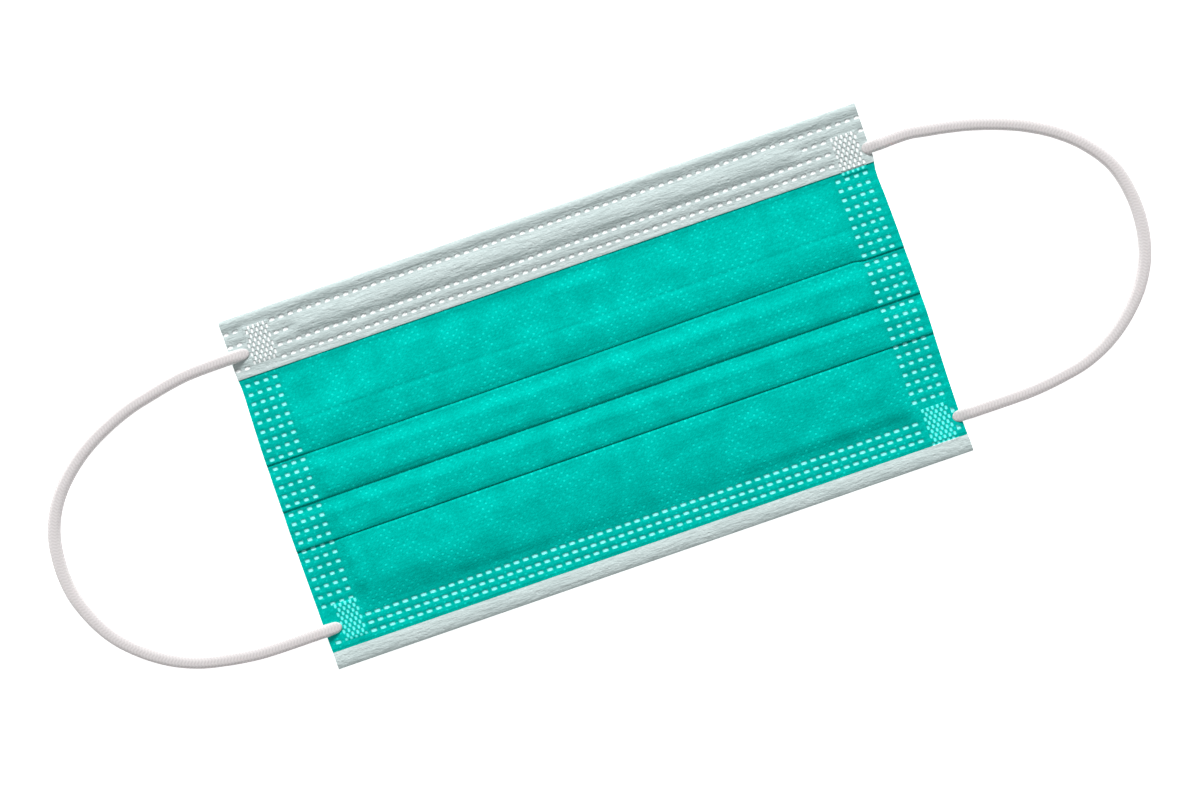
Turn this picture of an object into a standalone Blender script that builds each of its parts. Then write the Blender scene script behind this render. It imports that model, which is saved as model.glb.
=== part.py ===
"""Disposable face mask with three pleats and ear loops, lying flat with its outer face up.

Lengths are in metres. +X runs along the width, +Y towards the nose edge and +Z out of the
outer face. The origin is the middle of the underside.
"""

import math

import bmesh
import bpy
from mathutils import Vector

# Face panel: the outer, filter and inner plies lie on each other as one wall
MASK_WIDTH = 0.175
MASK_HEIGHT = 0.0955
CLOTH = 0.001
FOLD_GAP = 0.0002  # air between the layers of a pleat
CLEARANCE = 0.0003  # air between neighbouring pieces

# White hems: the inner ply turned over each long edge onto the outer face
TOP_HEM_WIDTH = 0.0162
BOTTOM_HEM_WIDTH = 0.0045
HEM_UNDERLAP = 0.001  # flat length of the turned ply that stays under the panel's level

# Nose wire in the top hem's tunnel, and the ridge that it raises
WIRE_WIDTH = 0.0035
WIRE_THICKNESS = 0.0008
WIRE_FROM_EDGE = 0.0070  # nose edge to the wire's middle line
WIRE_END_INSET = 0.0205  # side edge to the wire's end
WIRE_CORNER = 0.0011
RIDGE_SLOPE = 0.0019  # width of the ridge's flank on each side of the wire
RIDGE_RUN_OUT = 0.0045  # length over which the ridge sinks past the wire's end

# Fused ends of the ear loops
WELD_WIDTH = 0.0068
WELD_LENGTH = 0.0096
WELD_THICKNESS = 0.0008
WELD_CORNER = 0.0014

# Ear loops: round knitted elastic
LOOP_DIAMETER = 0.0031
LOOP_HOLD = 0.0018  # the cord stays at the fabric's level this far past the side edge
LOOP_LAND = 0.0150  # from here outwards it lies on the surface below the mask

# Each pleat opens towards the chin. Lengths are shares of MASK_HEIGHT: edge is the distance
# of the visible edge from the nose edge, depth the distance from there up to the hidden
# fold, and climb the stretch over which the cloth rises onto that fold.
PLEATS = (
    {"edge": 0.4157, "depth": 0.089, "climb": 0.055},
    {"edge": 0.5466, "depth": 0.084, "climb": 0.042},
    {"edge": 0.6618, "depth": 0.073, "climb": 0.034},
)

# Where each fused end lies. side is -1 at the left and 1 at the right. inset is the share of
# WELD_WIDTH from the side edge to the middle. drop is the share of TOP_HEM_WIDTH from the
# nose edge to the middle, and rise the share of WELD_LENGTH between the bottom hem and the
# end's lower side.
TOP_WELDS = (
    {"name": "loop_weld_top_left", "side": -1, "inset": 1.34, "drop": 0.54},
    {"name": "loop_weld_top_right", "side": 1, "inset": 0.86, "drop": 0.755},
)
BOTTOM_WELDS = (
    {"name": "loop_weld_bottom_left", "side": -1, "inset": 1.28, "rise": 0.16},
    {"name": "loop_weld_bottom_right", "side": 1, "inset": 0.91, "rise": 0.01},
)

# Ear loops' routes from the nose end to the chin end, chosen along the cord's middle line:
# distance out from the side edge, and height above the mask's middle.
LEFT_LOOP_ROUTE = (
    (0.0107, 0.0376),
    (0.0163, 0.0369),
    (0.0222, 0.0357),
    (0.0285, 0.0342),
    (0.0350, 0.0318),
    (0.0418, 0.0284),
    (0.0482, 0.0238),
    (0.0538, 0.0178),
    (0.0576, 0.0104),
    (0.0590, 0.0022),
    (0.0585, -0.0060),
    (0.0560, -0.0137),
    (0.0520, -0.0207),
    (0.0464, -0.0265),
    (0.0401, -0.0310),
    (0.0332, -0.0341),
    (0.0262, -0.0358),
    (0.0197, -0.0368),
    (0.0136, -0.0372),
)
RIGHT_LOOP_ROUTE = (
    (0.0101, 0.0357),
    (0.0154, 0.0349),
    (0.0210, 0.0339),
    (0.0270, 0.0325),
    (0.0335, 0.0304),
    (0.0403, 0.0275),
    (0.0472, 0.0233),
    (0.0534, 0.0177),
    (0.0582, 0.0106),
    (0.0603, 0.0024),
    (0.0604, -0.0060),
    (0.0585, -0.0143),
    (0.0544, -0.0217),
    (0.0486, -0.0278),
    (0.0420, -0.0325),
    (0.0347, -0.0356),
    (0.0272, -0.0371),
    (0.0204, -0.0379),
    (0.0140, -0.0381),
)
LOOP_POINT_STEP = 2.0  # diameters between the points of a loop's tube

# Fineness of the round forms
FOLD_STEPS = 8  # facets in half a turn
FLANK_STEPS = 6  # facets across a flank of the ridge
RIDGE_STEPS = 8  # stations along each run-out of the ridge
CORNER_STEPS = 4  # facets round a corner of a flat piece
ROUTE_STEPS = 12  # samples between two chosen points of a loop's route
SMOOTH_ANGLE = math.radians(35)

COLLECTION_NAME = "face_mask"

# Levels that follow from the sizes above
MIDDLE_Z = CLOTH / 2  # the lowest layer's middle surface
FOLD_RADIUS = (CLOTH + FOLD_GAP) / 2  # middle surface of a pleat's fold
HEM_RADIUS = (CLOTH + CLEARANCE) / 2  # middle surface of a hem's turn
FLANGE_Z = MIDDLE_Z + 2 * HEM_RADIUS
PANEL_INSET = HEM_RADIUS + CLOTH / 2 + HEM_UNDERLAP + CLEARANCE
RIDGE_RISE = WIRE_THICKNESS + CLEARANCE


def arc(centre_y, centre_z, radius, start, end, steps):
    """Points of an arc in the Y-Z plane, with angles in degrees from +Y towards +Z."""
    points = []
    for step in range(steps + 1):
        angle = math.radians(start + (end - start) * step / steps)
        points.append((centre_y + radius * math.cos(angle), centre_z + radius * math.sin(angle)))
    return points


def climb_points(nose_y, pleat):
    """The S-shaped rise of the cloth onto a pleat's hidden fold, from the floor upwards."""
    upper_radius = 3 * FOLD_RADIUS
    crown_y = nose_y - FOLD_RADIUS - CLOTH / 2
    run = pleat["climb"] * MASK_HEIGHT + FOLD_RADIUS + CLOTH / 2
    lower_radius = (run**2 - 8 * FOLD_RADIUS**2) / (8 * FOLD_RADIUS)
    sweep = math.degrees(math.asin(run / (upper_radius + lower_radius)))
    lower = arc(crown_y + run, MIDDLE_Z + lower_radius, lower_radius, -90, -90 - sweep, FOLD_STEPS)
    upper = arc(crown_y, MIDDLE_Z + FOLD_RADIUS, upper_radius, 90 - sweep, 90, FOLD_STEPS)
    return lower + upper[1:]


def pleat_points(pleat):
    """One pleat's middle surface: the rise, the visible edge and the hidden fold below it."""
    edge_y = MASK_HEIGHT / 2 - pleat["edge"] * MASK_HEIGHT
    nose_y = edge_y + pleat["depth"] * MASK_HEIGHT
    edge_centre = edge_y + FOLD_RADIUS + CLOTH / 2
    nose_centre = nose_y - FOLD_RADIUS - CLOTH / 2
    points = climb_points(nose_y, pleat)
    points += arc(edge_centre, MIDDLE_Z + 3 * FOLD_RADIUS, FOLD_RADIUS, 90, 270, FOLD_STEPS)
    points += arc(nose_centre, MIDDLE_Z + FOLD_RADIUS, FOLD_RADIUS, 90, -90, FOLD_STEPS)
    return points


def panel_profile():
    """The pleated middle surface from the nose edge to the chin edge."""
    end_y = MASK_HEIGHT / 2 - PANEL_INSET
    points = [(end_y, MIDDLE_Z)]
    for pleat in PLEATS:
        points += pleat_points(pleat)
    points.append((-end_y, MIDDLE_Z))
    return points


def smooth_step(share):
    """0 at 0 and below, 1 at 1 and above, with level ends."""
    share = min(max(share, 0.0), 1.0)
    return share * share * (3 - 2 * share)


def ridge_stations():
    """Places along X where the top hem's section changes."""
    half = MASK_WIDTH / 2
    crest = half - WIRE_END_INSET + CLEARANCE
    stations = [-half]
    for step in range(RIDGE_STEPS + 1):
        stations.append(-crest - RIDGE_RUN_OUT * (1 - step / RIDGE_STEPS))
    stations += [-station for station in reversed(stations)]
    return stations


def ridge_share(x):
    """How much of its full height the ridge has at x."""
    crest = MASK_WIDTH / 2 - WIRE_END_INSET + CLEARANCE
    return smooth_step(1 - (abs(x) - crest) / RIDGE_RUN_OUT)


def ridge_points(x):
    """The raised stretch of the top hem's flange over the wire."""
    wire_y = MASK_HEIGHT / 2 - WIRE_FROM_EDGE
    flat = WIRE_WIDTH / 2 + CLEARANCE
    rise = RIDGE_RISE * ridge_share(x)
    shares = [step / FLANK_STEPS for step in range(FLANK_STEPS + 1)]
    points = []
    for share in shares:
        y = wire_y + flat + RIDGE_SLOPE * (1 - share)
        points.append((y, FLANGE_Z + rise * smooth_step(share)))
    for share in shares:
        y = wire_y - flat - RIDGE_SLOPE * share
        points.append((y, FLANGE_Z + rise * smooth_step(1 - share)))
    return points


def hem_profile(width, raised):
    """A hem's middle surface, written for the nose edge: under leg, turn and flange."""
    turn_y = MASK_HEIGHT / 2 - HEM_RADIUS - CLOTH / 2
    points = [(turn_y - HEM_UNDERLAP, MIDDLE_Z)]
    points += arc(turn_y, MIDDLE_Z + HEM_RADIUS, HEM_RADIUS, -90, 90, FOLD_STEPS)
    points += raised
    points.append((MASK_HEIGHT / 2 - width, FLANGE_Z))
    return points


def solid_sheet(name, sections, material, parent):
    """Joins sections of (x, y, z) points into one surface, and thickens it to CLOTH."""
    mesh = bmesh.new()
    rows = [[mesh.verts.new(point) for point in section] for section in sections]
    for row, following in zip(rows, rows[1:]):
        for index in range(len(row) - 1):
            mesh.faces.new((row[index], following[index], following[index + 1], row[index + 1]))
    mesh.normal_update()
    piece = add_object(name, mesh, material, parent)
    wall = piece.modifiers.new("wall", "SOLIDIFY")
    wall.thickness = CLOTH
    wall.offset = 0
    wall.use_even_offset = True
    return piece


def add_object(name, mesh, material, parent):
    """Makes an object of a bmesh, with its material, in the part's collection."""
    data = bpy.data.meshes.new(name)
    mesh.to_mesh(data)
    mesh.free()
    data.shade_smooth()
    data.set_sharp_from_angle(angle=SMOOTH_ANGLE)
    data.materials.append(material)
    piece = bpy.data.objects.new(name, data)
    bpy.data.collections[COLLECTION_NAME].objects.link(piece)
    piece.parent = parent
    return piece


def face_panel(material, parent):
    """The pleated panel, whose long edges end inside the hems' turns."""
    profile = panel_profile()
    sections = []
    for x in (-MASK_WIDTH / 2, MASK_WIDTH / 2):
        sections.append([(x, y, z) for y, z in profile])
    return solid_sheet("face_panel", sections, material, parent)


def top_hem(material, parent):
    """The wide hem at the nose edge, with the ridge over the wire."""
    sections = []
    for x in ridge_stations():
        profile = hem_profile(TOP_HEM_WIDTH, ridge_points(x))
        sections.append([(x, y, z) for y, z in profile])
    return solid_sheet("top_hem", sections, material, parent)


def bottom_hem(material, parent):
    """The narrow hem at the chin edge, the mirror of a plain top hem."""
    sections = []
    for x in (MASK_WIDTH / 2, -MASK_WIDTH / 2):
        profile = hem_profile(BOTTOM_HEM_WIDTH, [])
        sections.append([(x, -y, z) for y, z in profile])
    return solid_sheet("bottom_hem", sections, material, parent)


def rounded_slab(name, size, corner, place, material, parent):
    """A flat box with rounded upright edges, placed by the middle of its underside."""
    mesh = bmesh.new()
    bmesh.ops.create_cube(mesh, size=1)
    bmesh.ops.translate(mesh, verts=mesh.verts, vec=(0, 0, 0.5))
    bmesh.ops.scale(mesh, verts=mesh.verts, vec=size)
    upright = [e for e in mesh.edges if abs(e.verts[0].co.z - e.verts[1].co.z) > size[2] / 2]
    bmesh.ops.bevel(
        mesh, geom=upright, offset=corner, segments=CORNER_STEPS, profile=0.5, affect="EDGES"
    )
    slab = add_object(name, mesh, material, parent)
    slab.location = place
    return slab


def nose_wire(material, parent):
    """The flat wire that lies on the panel inside the top hem."""
    size = (MASK_WIDTH - 2 * WIRE_END_INSET, WIRE_WIDTH, WIRE_THICKNESS)
    place = (0, MASK_HEIGHT / 2 - WIRE_FROM_EDGE, CLOTH + CLEARANCE)
    return rounded_slab("nose_wire", size, WIRE_CORNER, place, material, parent)


def weld_places():
    """Name, side and the middle of the underside of each fused loop end."""
    places = []
    for weld in TOP_WELDS:
        x = weld["side"] * (MASK_WIDTH / 2 - weld["inset"] * WELD_WIDTH)
        y = MASK_HEIGHT / 2 - weld["drop"] * TOP_HEM_WIDTH
        z = FLANGE_Z + CLOTH / 2 + CLEARANCE
        places.append((weld["name"], weld["side"], Vector((x, y, z))))
    for weld in BOTTOM_WELDS:
        x = weld["side"] * (MASK_WIDTH / 2 - weld["inset"] * WELD_WIDTH)
        hem_y = -MASK_HEIGHT / 2 + BOTTOM_HEM_WIDTH
        y = hem_y + CLEARANCE + (weld["rise"] + 0.5) * WELD_LENGTH
        z = CLOTH + CLEARANCE
        places.append((weld["name"], weld["side"], Vector((x, y, z))))
    return places


def loop_welds(material, parent):
    """The four fused ends, one slab each."""
    size = (WELD_WIDTH, WELD_LENGTH, WELD_THICKNESS)
    for name, _, place in weld_places():
        rounded_slab(name, size, WELD_CORNER, place, material, parent)


def loop_height(out, hold_z):
    """Height of the cord's middle line at a distance out from the side edge."""
    floor_z = LOOP_DIAMETER / 2
    share = smooth_step((LOOP_LAND - out) / (LOOP_LAND - LOOP_HOLD))
    return floor_z + (hold_z - floor_z) * share


def smooth_route(points, spacing):
    """Even points on a smooth curve through the given ones."""
    padded = [2 * points[0] - points[1]] + points + [2 * points[-1] - points[-2]]
    fine = []
    for before, start, end, after in zip(padded, padded[1:], padded[2:], padded[3:]):
        for sample in range(ROUTE_STEPS):
            t = sample / ROUTE_STEPS
            bend = 2 * before - 5 * start + 4 * end - after
            twist = 3 * start - before - 3 * end + after
            fine.append((2 * start + t * (end - before) + t * t * bend + t**3 * twist) / 2)
    fine.append(points[-1])
    reach = [0.0]
    for start, end in zip(fine, fine[1:]):
        reach.append(reach[-1] + (end - start).length)
    count = max(2, round(reach[-1] / spacing))
    even = []
    index = 0
    for step in range(count + 1):
        target = reach[-1] * step / count
        while index < len(fine) - 2 and reach[index + 1] < target:
            index += 1
        share = (target - reach[index]) / (reach[index + 1] - reach[index])
        even.append(fine[index].lerp(fine[index + 1], share))
    return even


def loop_points(side, route):
    """Points of a loop's middle line, from its upper weld out, round and back to its lower one."""
    upper, lower = [place for _, weld_side, place in weld_places() if weld_side == side]
    half = MASK_WIDTH / 2
    ends = []
    for weld in (upper, lower):
        weld_out = abs(weld.x) + WELD_WIDTH / 2 + CLEARANCE - half
        ends.append([Vector((out, weld.y)) for out in (weld_out, weld_out / 2, LOOP_HOLD)])
    plan = ends[0] + [Vector(point) for point in route] + ends[1][::-1]
    even = smooth_route(plan, LOOP_POINT_STEP * LOOP_DIAMETER)
    points = []
    for index, (out, y) in enumerate(even):
        weld = upper if index < len(even) / 2 else lower
        z = loop_height(out, weld.z + LOOP_DIAMETER / 2)
        points.append(Vector((side * (half + out), y, z)))
    return points


def ear_loop(name, side, route, material, parent):
    """One loop of round elastic, as a tube along its route."""
    points = loop_points(side, route)
    curve = bpy.data.curves.new(name, "CURVE")
    curve.dimensions = "3D"
    curve.bevel_depth = LOOP_DIAMETER / 2
    curve.bevel_resolution = 2
    curve.use_fill_caps = True
    spline = curve.splines.new("POLY")
    spline.points.add(len(points) - 1)
    for slot, point in zip(spline.points, points):
        slot.co = (*point, 1)
    curve.materials.append(material)
    loop = bpy.data.objects.new(name, curve)
    bpy.data.collections[COLLECTION_NAME].objects.link(loop)
    loop.parent = parent
    return loop


def matte(name, colour, roughness, metallic=0.0):
    """A plain Principled material."""
    material = bpy.data.materials.new(name)
    material.use_nodes = True
    shader = material.node_tree.nodes["Principled BSDF"]
    shader.inputs["Base Color"].default_value = (*colour, 1)
    shader.inputs["Roughness"].default_value = roughness
    shader.inputs["Metallic"].default_value = metallic
    return material


def main():
    for piece in list(bpy.data.objects):
        bpy.data.objects.remove(piece)
    collection = bpy.data.collections.new(COLLECTION_NAME)
    bpy.context.scene.collection.children.link(collection)
    origin = bpy.data.objects.new("mask_origin", None)
    collection.objects.link(origin)

    green = matte("green_nonwoven", (0.004, 0.49, 0.41), 0.75)
    white = matte("white_nonwoven", (0.66, 0.74, 0.73), 0.8)
    elastic = matte("knitted_elastic", (0.74, 0.70, 0.70), 0.85)
    fused = matte("fused_elastic", (0.62, 0.78, 0.75), 0.45)
    coated_wire = matte("coated_wire", (0.78, 0.79, 0.79), 0.4)

    face_panel(green, origin)
    top_hem(white, origin)
    bottom_hem(white, origin)
    nose_wire(coated_wire, origin)
    loop_welds(fused, origin)
    ear_loop("ear_loop_left", -1, LEFT_LOOP_ROUTE, elastic, origin)
    ear_loop("ear_loop_right", 1, RIGHT_LOOP_ROUTE, elastic, origin)


main()
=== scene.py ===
"""Looks of a flat three-pleat face mask: nonwoven plies, weld marks and knitted ear loops.

The frame's axes hold: +X along the width, +Y towards the nose edge, +Z out of the outer face.
A place on the mask is given by its inset from the left side edge and its drop below the nose
edge. The cloth's sizes are in millimetres, and those with MM and the loops' are in metres.
"""

import math

import bmesh
import bpy
import numpy as np
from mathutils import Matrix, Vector


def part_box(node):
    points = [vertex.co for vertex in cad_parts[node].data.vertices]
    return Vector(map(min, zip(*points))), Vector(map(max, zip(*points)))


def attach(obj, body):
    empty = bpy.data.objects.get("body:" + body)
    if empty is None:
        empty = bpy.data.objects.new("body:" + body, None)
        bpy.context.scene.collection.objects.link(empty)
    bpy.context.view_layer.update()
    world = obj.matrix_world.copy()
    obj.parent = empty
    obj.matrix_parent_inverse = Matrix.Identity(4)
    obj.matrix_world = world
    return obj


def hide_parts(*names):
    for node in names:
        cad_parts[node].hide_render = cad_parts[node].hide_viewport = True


MM = 0.001

# Cloth: two plies of nonwoven with the filter's place between them
PLY = 0.14 * MM
PLY_GAP = 0.06 * MM
LAMINATE = 2 * PLY + PLY_GAP
LAYER_STEP = 0.9 * MM  # height between a pleat's layers before STACK_SHARE flattens them
FOLD_RADIUS = LAYER_STEP / 2
FLOOR_LAYER = LAMINATE / 2  # middle of the laminate where it lies on the ground
FLATTEST = 0.39  # least share of LAYER_STEP that the layers' thickness allows

# Pleats, in millimetres below the nose edge: visible edge, hidden fold, and length of the
# stretch over which the cloth climbs onto the hidden fold. The fill is how much higher the
# green ply stands right past the edge in the middle of the mask, and the round how much lower
# it lies on the edge itself.
PLEATS = (
    {"edge": 39.5, "hidden": 31.2, "climb": 13.0, "fill": 0.34, "round": 0.20},
    {"edge": 52.2, "hidden": 44.2, "climb": 3.6, "fill": 0.43, "round": 0.06},
    {"edge": 63.2, "hidden": 56.2, "climb": 3.2, "fill": 0.28, "round": 0.22},
)

# Hems, in millimetres
TOP_HEM_EDGE = 16.1
BOTTOM_HEM_EDGE = 91.0
HEM_ROLL = 0.8  # how far the turn of a hem bulges along the cloth
FOLD_MARK_DROP = 31.0  # faint pressed line over the first hidden fold
OUTER_PLY_INSET = 1.3  # nose or chin edge to the end of the outer ply inside the hem

# Height of the green ply's quilting on the open cloth and its valleys, in millimetres
PUFF = 0.26
LEAST_PUFF = 0.05
STRIP_FILL = 0.30  # fill past a pleat's edge in the side strips
ROW_VALLEY = 0.13  # along the lower weld rows and the pressed line
DOT_VALLEY = 0.11  # across the side strips at each row of dots
DIMPLE = 0.05  # round each weld mark

# Drop and share of LAYER_STEP that lies between the layers of the pleats
STACK_SHARE = (
    (20, 0.42), (26, 0.46), (31.2, 0.56), (34, 0.62), (35.5, 0.61), (36.8, 0.56), (38, 0.48),
    (38.9, 0.41), (39.5, 0.39), (40.2, 0.41), (42, 0.54), (44, 0.65), (47, 0.72), (49, 0.74),
    (50.1, 0.71), (50.8, 0.63), (51.5, 0.5), (52.2, 0.4), (52.8, 0.42), (54.2, 0.47), (56, 0.49),
    (58.5, 0.5), (60.8, 0.48), (62.2, 0.43), (63.3, 0.39), (66, 0.39),
)

# Drop and height of the air below the whole cloth
LIFT = (
    (0, 0), (14, 0), (18.2, 0), (20.5, 0.02), (24, 0.05), (31, 0.1), (36, 0.17), (40, 0.24),
    (46, 0.36), (52, 0.5), (58, 0.62), (63, 0.76), (64.5, 0.8), (66.5, 1.06), (69, 1.34),
    (72, 1.38), (76, 1.14), (79, 0.8), (81.2, 0.42), (82.6, 0.1), (83.6, 0), (87, 0), (95.5, 0),
)

# Drop and height of the air inside the top hem: its rows nearest the nose edge
HEM_AIR_ABOVE = (
    (0, 0.7), (1, 0.78), (2.3, 0.5), (3, 0.22), (3.5, 0.15), (3.9, 0.16), (4.4, 0.26),
)

# The same along the two lower weld rows and the hem's free edge
HEM_AIR_BELOW = (
    (10.7, 0.13), (11.1, 0.2), (11.9, 0.36), (12.7, 0.26), (13.35, 0.13), (13.85, 0.11),
    (14.5, 0.15), (15.3, 0.24), (15.9, 0.33), (16.1, 0.24),
)

# The whole hem between the ends of the nose wire, and outside them, where the second weld
# row holds the hem down
HEM_AIR_OVER_WIRE = HEM_AIR_ABOVE + (
    (5.3, 0.6), (6.4, 0.83), (7.5, 0.89), (8.5, 0.78), (9.2, 0.54), (9.8, 0.27), (10.25, 0.14),
) + HEM_AIR_BELOW
HEM_AIR_PAST_WIRE = HEM_AIR_ABOVE + (
    (5.3, 0.42), (6.4, 0.26), (7.1, 0.13), (7.5, 0.14), (8.2, 0.28), (8.9, 0.4), (9.7, 0.24),
    (10.3, 0.14),
) + HEM_AIR_BELOW

# Drop and height of the air inside the bottom hem
BOTTOM_HEM_AIR = ((91, 0.14), (91.8, 0.34), (93, 0.52), (94.2, 0.48), (95.5, 0.2))

# Drop and how far the left and the right side edge stand out there
SIDE_BULGE = (
    (0, -0.2, 0.2), (8, -0.25, 0.15), (15, -0.2, 0.2), (18, -0.4, -0.2), (26, -0.3, -0.1),
    (36, -0.1, 0.1), (45, -0.1, 0.2), (57, -0.1, 0.25), (68, -0.2, 0), (80, -0.35, -0.2),
    (89, -0.4, -0.15), (92, -0.5, 0), (95.5, -0.5, 0),
)

# Soft creases: inset and drop of both ends, half width and height
CREASES = (
    ((11, 26.5), (27, 20.5), 3, -0.6),
    ((26, 30.5), (64, 24.5), 3.4, 0.34),
    ((14, 32.5), (62, 21), 3.4, 0.29),
    ((88, 20), (112, 25.5), 2.6, 0.18),
    ((74, 27.5), (118, 30), 2.4, -0.18),
    ((50, 34.5), (96, 38), 3, -0.14),
    ((140, 35), (163, 33.5), 2.8, 0.22),
    ((12, 45), (36, 43.5), 2.4, -0.18),
    ((38, 49.5), (62, 45), 2.6, 0.14),
    ((96, 46.5), (124, 44), 2.6, 0.14),
    ((138, 47), (165, 45), 3, -0.13),
    ((95, 57.5), (100, 62.5), 2, 0.09),
    ((104, 70.5), (124, 67), 2.4, -0.22),
    ((148, 69.5), (166, 65.5), 2.4, -0.25),
    ((13, 79.5), (22, 71.5), 2.6, -0.3),
    ((40, 74), (60, 70), 3, 0.18),
    ((120, 79.5), (160, 80), 2.2, 0.22),
    ((10, 75.5), (48, 76.5), 4.2, 0.55),
)

# Weld marks, in millimetres
DASH_PITCH = 2.55
DASH_HALF = (0.68, 0.39)
DOT_HALF = (0.57, 0.40)
DIAMOND_HALF = (0.31, 0.50)
MARK_DEPTH = 0.09 * MM
SIDE_DOT_COLUMNS = (1.85, 4.4, 6.95, 9.5, 164.55, 167.1, 169.65, 172.1)
SIDE_DOT_TOP = 18.1
SIDE_DOT_PITCH = 2.53
SIDE_DOT_DROPS = [SIDE_DOT_TOP + row * SIDE_DOT_PITCH for row in range(25)]
TOP_ROWS = (3.8, 7.3, 10.6, 13.75)
FIRST_TOP_DASH = 0.9
TOP_DASHES = [FIRST_TOP_DASH + index * DASH_PITCH for index in range(69)]
BOTTOM_ROWS = (84.25, 86.55, 88.8)
FIRST_BOTTOM_DASH = 12.4
BOTTOM_DASHES = [FIRST_BOTTOM_DASH + index * DASH_PITCH for index in range(60)]
SIDE_DASHES = ((2.4, 88.8), (173.2, 83.9), (173.2, 88.7))  # inset and drop
WIRE_ROW_GAP = (17.5, 158.0)  # the second row has no dashes between these insets
MARK_CLEARANCE = 0.3  # between a weld mark's middle and a fused end

# Fused loop ends: inset and drop of their corners, in millimetres
PATCHES = {
    "top_left": (5.5, 3.3, 12.3, 13.5),
    "top_right": (166.0, 6.7, 172.9, 17.5),
    "bottom_left": (4.6, 79.2, 11.0, 89.2),
    "bottom_right": (165.4, 81.0, 172.6, 91.3),
}
DIAMOND_CELL = (1.36, 2.32)
FILM = 0.22  # how high the fused elastic stands at its rim
DIAMOND_DEPTH = 0.07

# Drops between which bands of the green ply's rows, with columns of their own, are joined
HEM_SEAM = (14.8, 15.2)
DASH_SEAM = (82.6, 82.9)
CHIN_SEAM = (90.2, 90.6)

# Ear loops: places are distance out from the side edge and place along Y, as in the solid model
LOOP_DIAMETER = 0.0031
LOOP_HOLD = 0.0018  # where the cord leaves the cloth
LOOP_LAND = 0.0150  # where it has come down to the ground
TIP_LENGTH = 0.0020  # the cord narrows to its rounded end over this length
CORD_WIDTH = 1.10  # the soft cord lies a little flattened, as shares of its diameter
CORD_HEIGHT = 0.84
CORD_ROUNDNESS = 0.75
FLAT_END_LENGTH = 5.5 * MM  # over which an end goes from flat to round
COURSE = 0.85 * MM  # length of a stitch along the cord
WALES = 9  # columns of stitches round the cord
LEFT_LOOP_ROUTE = (
    (0.0107, 0.0376), (0.0163, 0.0369), (0.0222, 0.0357), (0.0285, 0.0342), (0.0350, 0.0318),
    (0.0418, 0.0284), (0.0482, 0.0238), (0.0538, 0.0178), (0.0576, 0.0104), (0.0590, 0.0022),
    (0.0585, -0.0060), (0.0560, -0.0137), (0.0520, -0.0207), (0.0464, -0.0265), (0.0401, -0.0310),
    (0.0332, -0.0341), (0.0262, -0.0358), (0.0197, -0.0368), (0.0136, -0.0372),
)
RIGHT_LOOP_ROUTE = (
    (0.0101, 0.0357), (0.0154, 0.0349), (0.0210, 0.0339), (0.0270, 0.0325), (0.0335, 0.0304),
    (0.0403, 0.0275), (0.0472, 0.0233), (0.0534, 0.0177), (0.0582, 0.0106), (0.0603, 0.0024),
    (0.0604, -0.0060), (0.0585, -0.0143), (0.0544, -0.0217), (0.0486, -0.0278), (0.0420, -0.0325),
    (0.0347, -0.0356), (0.0272, -0.0371), (0.0204, -0.0379), (0.0140, -0.0381),
)

# Middles of each loop's welds, how far its ends lie from them towards the chin, height of its
# flattened ends as a share of the cord's, and its length
LOOPS = {
    "left": {
        "side": -1, "welds": ((-0.00541, 0.0390), (-0.0050, -0.03661)), "sags": (0.0012, 0.0006),
        "end_height": 0.34, "length": 0.168, "route": LEFT_LOOP_ROUTE,
    },
    "right": {
        "side": 1, "welds": ((-0.00215, 0.03552), (-0.00249, -0.03805)), "sags": (0.0, 0.0),
        "end_height": 0.22, "length": 0.165, "route": RIGHT_LOOP_ROUTE,
    },
}

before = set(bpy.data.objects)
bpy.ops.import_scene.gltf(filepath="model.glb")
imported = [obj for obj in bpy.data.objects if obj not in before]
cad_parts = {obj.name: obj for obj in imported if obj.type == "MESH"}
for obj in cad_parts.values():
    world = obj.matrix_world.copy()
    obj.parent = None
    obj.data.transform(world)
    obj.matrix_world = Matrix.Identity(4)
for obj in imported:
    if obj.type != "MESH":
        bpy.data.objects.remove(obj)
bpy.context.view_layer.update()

HALF_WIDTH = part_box("face_panel")[1].x
NOSE_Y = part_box("top_hem")[1].y
CHIN_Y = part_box("bottom_hem")[0].y
WIDTH_MM = 2 * HALF_WIDTH / MM
HEIGHT_MM = (NOSE_Y - CHIN_Y) / MM


def smooth_step(share):
    """0 at 0 and below, 1 at 1 and above, with level ends."""
    share = np.clip(share, 0.0, 1.0)
    return share * share * (3 - 2 * share)


def band(value, low, rise, high, fall):
    """1 between low and high, with a smooth rise from low and a smooth fall to high."""
    return smooth_step((value - low) / rise) * smooth_step((high - value) / fall)


def through(table, places):
    """Values at the places, on a smooth curve through a table's rows of place and value."""
    knots, values = np.array(table, float).T
    slopes = np.gradient(values, knots)
    places = np.clip(places, knots[0], knots[-1])
    index = np.clip(np.searchsorted(knots, places, side="right") - 1, 0, len(knots) - 2)
    width = knots[index + 1] - knots[index]
    u = (places - knots[index]) / width
    rise = values[index + 1] - values[index]
    start = width * slopes[index] - rise
    end = width * slopes[index + 1] - rise
    return values[index] + u * rise + u * (1 - u) * (start * (1 - u) - end * u)


def soft_noise(x, y, seed):
    """Smooth random values from -1 to 1 that change over one unit of x and y."""
    table = np.random.default_rng(seed).uniform(-1, 1, (64, 64))
    column = np.floor(x).astype(int)
    row = np.floor(y).astype(int)
    across = smooth_step(x - column)
    down = smooth_step(y - row)
    near, far = [
        table[i % 64, column % 64] * (1 - across) + table[i % 64, (column + 1) % 64] * across
        for i in (row, row + 1)
    ]
    return near * (1 - down) + far * down


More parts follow.
